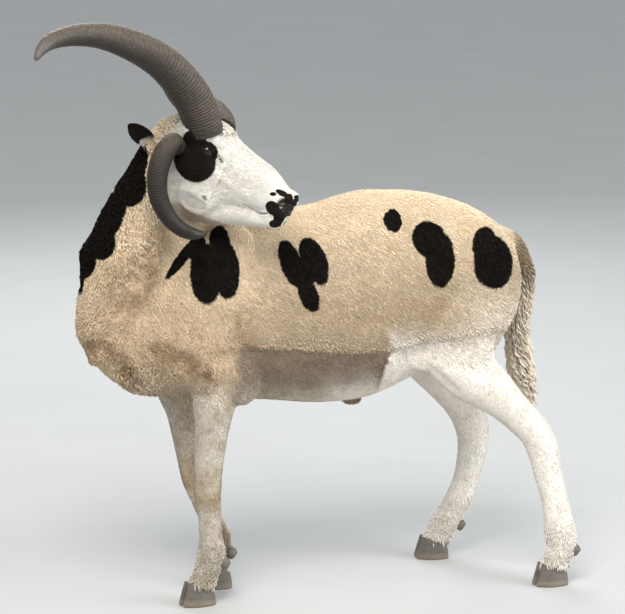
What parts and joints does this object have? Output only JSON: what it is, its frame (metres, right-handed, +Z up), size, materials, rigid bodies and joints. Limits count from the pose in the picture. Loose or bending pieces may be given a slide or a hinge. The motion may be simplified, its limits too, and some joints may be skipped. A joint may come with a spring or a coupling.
{
  "type": "jacob sheep",
  "caption": "Life-size shorn piebald ram with an upper and a lower pair of horns, standing on its hooves and looking back over its left shoulder.",
  "frame": {"origin": "on the floor, under the middle of the bounding box", "axes": "+Z up, the ram's body faces -X and its left side is towards -Y"},
  "size_m": [1.0459, 0.524, 1.0659],
  "materials": {
    "wool_cream": "short shorn wool, matte",
    "hair_white": "short flat hair, matte",
    "hair_black": "short flat hair, matte",
    "skin": "thinly haired skin",
    "horn": "ringed horn, satin",
    "hoof": "dull hoof horn",
    "eye": "moist, glossy"
  },
  "bodies": {
    "root": {"dewclaw_fore_left_a": "hoof", "dewclaw_fore_left_b": "hoof", "dewclaw_fore_right_a": "hoof", "dewclaw_fore_right_b": "hoof", "dewclaw_hind_left_a": "hoof", "dewclaw_hind_left_b": "hoof", "dewclaw_hind_right_a": "hoof", "dewclaw_hind_right_b": "hoof", "ear_left": "hair_black", "ear_right": "hair_black", "eye_left": "eye", "eye_right": "eye", "foreleg_left": "hair_white", "foreleg_right": "hair_white", "head": "hair_white", "hindleg_left": "hair_white", "hindleg_right": "hair_white", "hoof_fore_left_a": "hoof", "hoof_fore_left_b": "hoof", "hoof_fore_right_a": "hoof", "hoof_fore_right_b": "hoof", "hoof_hind_left_a": "hoof", "hoof_hind_left_b": "hoof", "hoof_hind_right_a": "hoof", "hoof_hind_right_b": "hoof", "horn_lower_left": "horn", "horn_lower_right": "horn", "horn_upper_left": "horn", "horn_upper_right": "horn", "neck": "wool_cream", "scrotum": "skin", "tail": "wool_cream", "torso": "wool_cream"}
  },
  "joints": []
}
